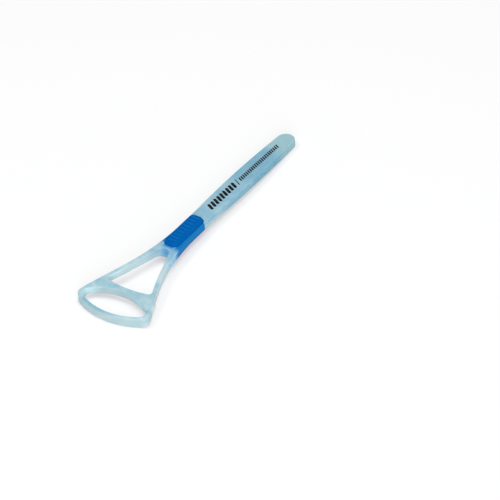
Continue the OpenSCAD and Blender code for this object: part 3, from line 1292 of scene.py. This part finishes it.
class PatternTree:
    """A Geometry Nodes tree with named inputs that lays shapes in rows along the bowed handle."""

    def __init__(self, name: str, side: SideProfile, sizes: dict[str, float]) -> None:
        """Start a tree.

        Args:
            name: the tree's name.
            side: the body's levels, which give the two inputs of the bow.
            sizes: each other input's name and value; whole numbers become whole-number inputs.
        """
        self.tree = bpy.data.node_groups.new(name, "GeometryNodeTree")
        crest_y = (side.crest_y - side.total_l / 2) * MM
        self.sizes = {**sizes, "Crest Y": crest_y, "Bow Radius": side.bow_r * MM}
        for key, value in self.sizes.items():
            kind = "NodeSocketInt" if isinstance(value, int) else "NodeSocketFloat"
            self.tree.interface.new_socket(key, in_out="INPUT", socket_type=kind)
        self.tree.interface.new_socket("Geometry", in_out="OUTPUT", socket_type="NodeSocketGeometry")
        entry = add_node(self.tree, "NodeGroupInput")
        self.inputs = {key: entry.outputs[key] for key in self.sizes}

    def add(self, kind: str, inputs: Optional[dict] = None, **settings: object) -> Socket:
        """Add a node to the tree and take its first output."""
        return add_node(self.tree, kind, inputs, **settings).outputs[0]

    def math(self, kind: str, *values: object) -> Socket:
        """One operation on sockets and numbers."""
        return self.add("ShaderNodeMath", dict(enumerate(values)), operation=kind)

    def place(self) -> dict[str, Socket]:
        """Where each point is, by the names of the axes."""
        split = add_node(self.tree, "ShaderNodeSeparateXYZ", {0: self.add("GeometryNodeInputPosition")})
        return {axis: split.outputs[axis] for axis in "XYZ"}

    def join(self, *parts: Socket) -> Socket:
        """Put some geometry together.

        Args:
            parts: what is joined, in the order that their points will have.

        Returns:
            All of it.
        """
        joined = add_node(self.tree, "GeometryNodeJoinGeometry")
        for part in parts:
            self.tree.links.new(part, joined.inputs[0])
        return joined.outputs[0]

    def row(self, count: Socket, pitch: Socket, start: Socket, level: Socket, shape: Socket) -> Socket:
        """Lay a shape in a row along the handle.

        Args:
            count: how many.
            pitch: the distance from one to the next.
            start: the first one's place along Y.
            level: its level at the bow's crest.
            shape: the shape.

        Returns:
            The row, straight and level.
        """
        offset = self.add("ShaderNodeCombineXYZ", {"Y": pitch})
        first = self.add("ShaderNodeCombineXYZ", {"Y": start, "Z": level})
        line = self.add("GeometryNodeMeshLine", {"Count": count, "Offset": offset, "Start Location": first})
        copies = self.add("GeometryNodeInstanceOnPoints", {"Points": line, "Instance": shape})
        return self.add("GeometryNodeRealizeInstances", {"Geometry": copies})

    def finished(self, name: str, geometry: Socket, material: bpy.types.Material) -> bpy.types.Object:
        """Close the tree and turn what it makes into a plain mesh.

        Args:
            name: the piece's name.
            geometry: what the tree has made, straight and level.
            material: the piece's finish.

        Returns:
            The piece, with no modifier left.
        """
        smooth = self.add("GeometryNodeSetShadeSmooth", {"Geometry": self._bowed(geometry)})
        dressed = self.add("GeometryNodeSetMaterial", {"Geometry": smooth, "Material": material})
        add_node(self.tree, "NodeGroupOutput", {"Geometry": dressed})
        piece = bpy.data.objects.new(name, bpy.data.meshes.new(name))
        bpy.context.scene.collection.objects.link(piece)
        modifier = piece.modifiers.new(self.tree.name, "NODES")
        modifier.node_group = self.tree
        for item in self.tree.interface.items_tree:
            if item.in_out == "INPUT":
                modifier[item.identifier] = self.sizes[item.name]
        piece = applied(piece)
        log.info("%s: %d faces", name, len(piece.data.polygons))
        return piece

    def _bowed(self, geometry: Socket) -> Socket:
        """Bend level rows to follow the bow, which is so flat that a parabola does.

        Args:
            geometry: the rows.

        Returns:
            The bent rows.
        """
        away = self.math("SUBTRACT", self.place()["Y"], self.inputs["Crest Y"])
        square = self.math("MULTIPLY", away, away)
        drop = self.math("DIVIDE", square, self.math("MULTIPLY", self.inputs["Bow Radius"], 2.0))
        shift = self.add("ShaderNodeCombineXYZ", {"Z": self.math("MULTIPLY", drop, -1.0)})
        return self.add("GeometryNodeSetPosition", {"Geometry": geometry, "Offset": shift})


@dataclass(frozen=True)
class GripRibs:
    """The row of soft ribs in a pad's panel."""

    side: SideProfile
    sizes: GripSizes
    face: Face
    side_gap: float = 0.25
    # Each rib is a ball drawn out to a bar: the lower the power, the squarer it gets.
    end_power: float = 0.3
    crown_power: float = 0.62
    ball_segments: int = 36
    ball_rings: int = 18

    def build(self, material: bpy.types.Material) -> bpy.types.Object:
        """Make the ribs.

        Args:
            material: their finish.

        Returns:
            The ribs' object.
        """
        sizes, side, name = self.sizes, self.side, self.face.name.lower()
        start, end = sizes.panel_ends(self.face)
        pitch = (end - start) / sizes.rib_count
        floor = sizes.height(self.face) - sizes.panel_d
        level = side.crest_z + floor if self.face is Face.THUMB else side.under_z - floor
        pattern = PatternTree(f"{name}_rib_row", side, {
            "Rib Count": sizes.rib_count, "Rib Pitch": pitch * MM,
            "First Rib Y": (start + pitch / 2 - side.total_l / 2) * MM,
            "Panel Level": level * MM, "Rib Length": (sizes.panel_w - 2 * self.side_gap) * MM,
            "Rib Width": sizes.rib_w * MM, "Rib Height": sizes.rib_h * MM})
        at = pattern.inputs
        row = pattern.row(at["Rib Count"], at["Rib Pitch"], at["First Rib Y"], at["Panel Level"],
                          self._rib(pattern))
        return pattern.finished(f"{name}_pad_ribs", row, material)

    def _rib(self, pattern: PatternTree) -> Socket:
        """Shape a bar with softly squared ends and a rounded crown, half sunk in the panel.

        Args:
            pattern: the tree, whose inputs hold the rib's sizes.

        Returns:
            One rib, at the origin.
        """
        ball = pattern.add("GeometryNodeMeshUVSphere", {
            "Segments": self.ball_segments, "Rings": self.ball_rings, "Radius": 1.0})
        place = pattern.place()
        # The ball reaches half of the length and width to each side, and the whole height up.
        axes = (("X", self.end_power, "Rib Length", 0.5), ("Y", self.crown_power, "Rib Width", 0.5),
                ("Z", self.crown_power, "Rib Height", 1.0))
        squared = []
        for axis, power, size, share in axes:
            bent = pattern.math("POWER", pattern.math("ABSOLUTE", place[axis]), power)
            signed = pattern.math("MULTIPLY", bent, pattern.math("SIGN", place[axis]))
            reach = pattern.math("MULTIPLY", pattern.inputs[size], share)
            squared.append(pattern.math("MULTIPLY", signed, reach))
        bar = pattern.add("ShaderNodeCombineXYZ", dict(enumerate(squared)))
        return pattern.add("GeometryNodeSetPosition", {"Geometry": ball, "Position": bar})


@dataclass(frozen=True)
class PrintedMarks:
    """The generic print on the handle: a row of bold slanted bars, a thin line and a row of fine strokes."""

    side: SideProfile
    bar_start: float = 92.5
    bar_count: int = 9
    bar_pitch: float = 2.6
    bar_l: float = 4.9
    bar_w: float = 1.6
    slant: float = -27.0
    line_y: float = 116.4
    line_l: float = 5.2
    line_w: float = 0.5
    stroke_start: float = 119.2
    stroke_count: int = 23
    stroke_pitch: float = 1.51
    stroke_l: float = 3.0
    stroke_w: float = 0.82
    film: float = 0.05
    # The radius of a mark's corners, as a share of its width.
    corner_share: float = 0.45
    corner_points: int = 6

    def build(self, material: bpy.types.Material) -> bpy.types.Object:
        """Print the marks.

        Args:
            material: the ink.

        Returns:
            The marks' object.
        """
        half = self.side.total_l / 2
        pattern = PatternTree("printed_mark_rows", self.side, {
            "Bar Count": self.bar_count, "Bar Pitch": self.bar_pitch * MM,
            "First Bar Y": (self.bar_start - half) * MM, "Line Count": 1,
            "Line Y": (self.line_y - half) * MM, "Stroke Count": self.stroke_count,
            "Stroke Pitch": self.stroke_pitch * MM, "First Stroke Y": (self.stroke_start - half) * MM,
            "Film": self.film * MM, "Print Level": self.side.crest_z * MM,
            "Slant": math.radians(self.slant)})
        rows = (("Bar Count", "Bar Pitch", "First Bar Y", self.bar_l, self.bar_w),
                ("Line Count", "Bar Pitch", "Line Y", self.line_l, self.line_w),
                ("Stroke Count", "Stroke Pitch", "First Stroke Y", self.stroke_l, self.stroke_w))
        lean = pattern.add("ShaderNodeCombineXYZ", {"Z": pattern.inputs["Slant"]})
        laid = []
        for count, pitch, start, length, width in rows:
            flat = self._mark(pattern, length, width)
            mark = pattern.add("GeometryNodeTransform", {"Geometry": flat, "Rotation": lean})
            at = [pattern.inputs[name] for name in (count, pitch, start, "Print Level")]
            laid.append(pattern.row(*at, mark))
        return pattern.finished("printed_marks", pattern.join(*laid), material)

    def _mark(self, pattern: PatternTree, length: float, width: float) -> Socket:
        """Shape a flat bar with round corners, lying across the handle.

        Args:
            pattern: the tree, with the film's thickness among its inputs.
            length: the bar's length.
            width: its width.

        Returns:
            One bar, at the origin.
        """
        film = pattern.inputs["Film"]
        plate = pattern.add("GeometryNodeCurvePrimitiveQuadrilateral", {
            "Width": length * MM, "Height": width * MM})
        radius = width * self.corner_share * MM
        soft = pattern.add("GeometryNodeFilletCurve", {
            "Curve": plate, "Count": self.corner_points, "Radius": radius}, mode="POLY")
        filled = pattern.add("GeometryNodeFillCurve", {"Curve": soft}, mode="NGONS")
        lifted = pattern.add("GeometryNodeExtrudeMesh", {
            "Mesh": filled, "Offset Scale": film, "Individual": False})
        base = pattern.add("GeometryNodeFlipFaces", {"Mesh": filled})
        closed = pattern.add("GeometryNodeMergeByDistance", {
            "Geometry": pattern.join(lifted, base), "Distance": PRINT_WELD_M})
        down = pattern.add("ShaderNodeCombineXYZ", {"Z": pattern.math("MULTIPLY", film, -0.5)})
        return pattern.add("GeometryNodeTransform", {"Geometry": closed, "Translation": down})


@dataclass(frozen=True)
class Lamp:
    """A square soft light that looks at the scraper, with its place and size in metres."""

    name: str
    place: Triple
    watts: float
    size: float

    def hang(self) -> None:
        """Hang the lamp in the scene."""
        light = bpy.data.lights.new(self.name, "AREA")
        light.energy = self.watts
        light.size = self.size
        lamp = bpy.data.objects.new(self.name, light)
        lamp.location = self.place
        lamp.rotation_euler = Vector(self.place).to_track_quat("Z", "Y").to_euler()
        bpy.context.scene.collection.objects.link(lamp)


@dataclass(frozen=True)
class Studio:
    """The table, the lights and the camera, whose angles are in degrees."""

    azimuth: float = -37.672
    elevation: float = 39.112
    roll: float = -5.382
    target: Triple = (33.537, -4.289, 2.87)
    distance: float = 2154.26
    lens: float = 310.383
    sensor: float = 36.0
    # The table shines half of its white itself, which keeps the shadows faint and a little warm.
    table_white: str = "#F4F4F4"
    table_glow: Triple = (0.50, 0.44, 0.44)
    table_grey: Triple = (0.47, 0.53, 0.53)
    table_half_m: float = 3.0
    world_white: str = "#FFFFFF"
    world_level: float = 0.2
    # Four lamps high round the scraper give pale shadows that touch it on every side; the low
    # one keeps the walls that face the camera as light as the tops.
    lamps: tuple[Lamp, ...] = (
        Lamp("left_light", (-0.60, -0.30, 1.34), 5.8, 0.34),
        Lamp("back_light", (0.01, 0.38, 1.45), 5.9, 0.73),
        Lamp("top_light", (0.29, 0.11, 1.47), 2.4, 0.26),
        Lamp("right_light", (0.51, -0.32, 1.38), 3.6, 0.57),
        Lamp("low_light", (0.86, -1.04, 0.42), 11.3, 0.8))

    def build(self) -> None:
        """Set the whole studio up."""
        bpy.context.scene.view_settings.view_transform = "Standard"
        self._camera()
        self._table()
        self._world()
        for lamp in self.lamps:
            lamp.hang()

    def _camera(self) -> None:
        """Stand the camera at the photograph's angle."""
        turn, tilt, roll = (math.radians(a) for a in (self.azimuth, self.elevation, self.roll))
        ahead = Vector((math.sin(turn) * math.cos(tilt), math.cos(turn) * math.cos(tilt), -math.sin(tilt)))
        right = Vector((math.cos(turn), -math.sin(turn), 0))
        up = right.cross(ahead)
        right, up = right * math.cos(roll) + up * math.sin(roll), up * math.cos(roll) - right * math.sin(roll)
        camera = bpy.data.objects.new("camera", bpy.data.cameras.new("camera"))
        camera.data.lens = self.lens
        camera.data.sensor_width = self.sensor
        place = Matrix((right, up, -ahead)).transposed().to_4x4()
        place.translation = (Vector(self.target) - ahead * self.distance) * MM
        camera.matrix_world = place
        bpy.context.scene.collection.objects.link(camera)
        bpy.context.scene.camera = camera

    @staticmethod
    def _shown(tree: Tree, real: Socket, shown: Socket) -> Socket:
        """Show one surface to the camera while another one lights the scene.

        Args:
            tree: the tree.
            real: what gives light.
            shown: what the camera sees, straight or by way of a gloss or a clear plastic.

        Returns:
            Both in one.
        """
        path = add_node(tree, "ShaderNodeLightPath").outputs
        share = path["Is Camera Ray"]
        for ray in ("Is Glossy Ray", "Is Transmission Ray"):
            share = add_node(tree, "ShaderNodeMath", {0: share, 1: path[ray]}, operation="MAXIMUM").outputs[0]
        return add_node(tree, "ShaderNodeMixShader", {0: share, 1: real, 2: shown}).outputs[0]

    def _table(self) -> None:
        """Lay a white table that still takes the scraper's faint shadow."""
        material = bare_material("white_table")
        tree = material.node_tree
        plain = add_node(tree, "ShaderNodeBsdfDiffuse", {"Color": linear(self.table_white)}).outputs[0]
        grey = add_node(tree, "ShaderNodeBsdfDiffuse", {"Color": (*self.table_grey, 1.0)}).outputs[0]
        glow = add_node(tree, "ShaderNodeEmission", {"Color": (*self.table_glow, 1.0), "Strength": 1.0})
        seen = add_node(tree, "ShaderNodeAddShader", {0: grey, 1: glow.outputs[0]}).outputs[0]
        add_node(tree, "ShaderNodeOutputMaterial", {"Surface": self._shown(tree, plain, seen)})
        half = self.table_half_m
        corners = [(-half, -half, 0), (half, -half, 0), (half, half, 0), (-half, half, 0)]
        mesh = bpy.data.meshes.new("table")
        mesh.from_pydata(corners, [], [(0, 1, 2, 3)])
        mesh.materials.append(material)
        table = bpy.data.objects.new("table", mesh)
        bpy.context.scene.collection.objects.link(table)

    def _world(self) -> None:
        """Fill the room with even light, and show it white."""
        world = bpy.data.worlds.new("studio")
        bpy.context.scene.world = world
        world.use_nodes = True
        tree = world.node_tree
        tree.nodes.clear()
        even, white = (add_node(tree, "ShaderNodeBackground", {
            "Color": linear(self.world_white), "Strength": level}).outputs[0]
            for level in (self.world_level, 1.0))
        add_node(tree, "ShaderNodeOutputWorld", {"Surface": self._shown(tree, even, white)})


def hand_over(piece: bpy.types.Object, slot: str, *nodes: str) -> None:
    """Tell the shared frame what a finished piece belongs to.

    Args:
        piece: the piece.
        slot: the slot of its colour; not used.
        nodes: the CAD nodes that it stands for, if any.
    """
    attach(piece, BODY)
    if nodes:
        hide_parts(*nodes)


def main() -> None:
    """Build the scraper and its studio."""
    logging.basicConfig(level=logging.INFO, format="%(name)s: %(message)s")
    Studio().build()
    side, sizes = SideProfile(), GripSizes()
    body = ScraperBody(side, sizes)
    plastic = FrostedPlastic().build(side, sizes, body.arch_centre + body.arch_r, body.front_r)
    rubber, ink, painted_light_rib_rubber = SoftRubber().build(), PrintingInk().build(), PAINTED_LIGHT_RIB_RUBBER.build()
    hand_over(body.build(plastic), PLASTIC_SLOT, "scraper_body")
    hand_over(SoftGrip(side, sizes).build(rubber), GRIP_SLOT, "soft_grip")
    for face in Face:
        hand_over(GripRibs(side, sizes, face).build(painted_light_rib_rubber), GRIP_SLOT)
    hand_over(PrintedMarks(side).build(ink), PLASTIC_SLOT)


if __name__ == "__main__":
    main()
